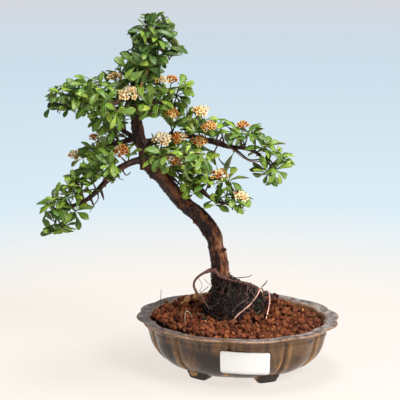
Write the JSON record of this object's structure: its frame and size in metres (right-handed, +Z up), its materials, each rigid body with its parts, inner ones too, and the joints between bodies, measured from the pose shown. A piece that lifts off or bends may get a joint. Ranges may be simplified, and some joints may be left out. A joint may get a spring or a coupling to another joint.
{
  "type": "potted bonsai tree",
  "caption": "Slanting flowering bonsai tree with exposed roots, rooted in soil in a lobed oval glazed pot that stands on cloud feet.",
  "frame": {"origin": "middle of the whole plant's box in x and y, at the floor under the pot's feet", "axes": "+Z up, -Y the tree's front, +X to the right when it is seen from the front"},
  "size_m": [0.2774, 0.1532, 0.3311],
  "materials": {
    "glaze": "glossy brown to blue-grey streaked glaze",
    "soil": "matte reddish-brown fired clay and lava grains",
    "bark": "rough dark bark with orange-brown patches",
    "screen": "matte black mesh",
    "copper": "copper-coloured bonsai wire with a dull sheen",
    "paper": "plain white paper",
    "leaf": "glossy dark green leaves with paler undersides",
    "cream": "thin matte cream petals with orange centres",
    "rust": "matte faded orange-brown flower cups"
  },
  "bodies": {
    "root": {"pot": "glaze", "drain_screen_left": "screen", "drain_screen_right": "screen", "soil": "soil", "trunk_and_roots": "bark", "tie_wire_front": "copper", "tie_wire_right": "copper", "pot_label": "paper", "bloom_centre": "rust", "bloom_front_big": "cream", "bloom_left_back": "rust", "bloom_left_end": "cream", "bloom_left_top": "cream", "bloom_left_trunk": "rust", "bloom_long_end": "rust", "bloom_long_front": "rust", "bloom_long_low": "rust", "bloom_long_top": "cream", "bloom_low_right": "rust", "bloom_low_tip": "cream", "bloom_middle_cream": "cream", "bloom_middle_rust": "rust", "bloom_right_top": "cream", "bloom_right_top_tip": "rust", "bloom_right_under": "rust", "spray_apex_back": "leaf", "spray_apex_front": "leaf", "spray_apex_left": "leaf", "spray_apex_right": "leaf", "spray_apex_top": "leaf", "spray_back_high": "leaf", "spray_back_left": "leaf", "spray_back_left_inner": "leaf", "spray_back_low": "leaf", "spray_front_left": "leaf", "spray_front_right": "leaf", "spray_leader": "leaf", "spray_left_high_front": "leaf", "spray_left_high_low": "leaf", "spray_left_high_tip": "leaf", "spray_left_high_twig": "leaf", "spray_left_low_end": "leaf", "spray_left_low_middle": "leaf", "spray_left_low_tip": "leaf", "spray_left_low_top": "leaf", "spray_left_middle": "leaf", "spray_left_middle_low": "leaf", "spray_right_high": "leaf", "spray_right_high_tip": "leaf", "spray_right_long_end": "leaf", "spray_right_long_middle": "leaf", "spray_right_long_outer": "leaf", "spray_right_long_tip": "leaf", "spray_right_long_twig": "leaf", "spray_right_low": "leaf", "spray_right_low_tip": "leaf", "spray_trunk_high": "leaf"}
  },
  "joints": []
}
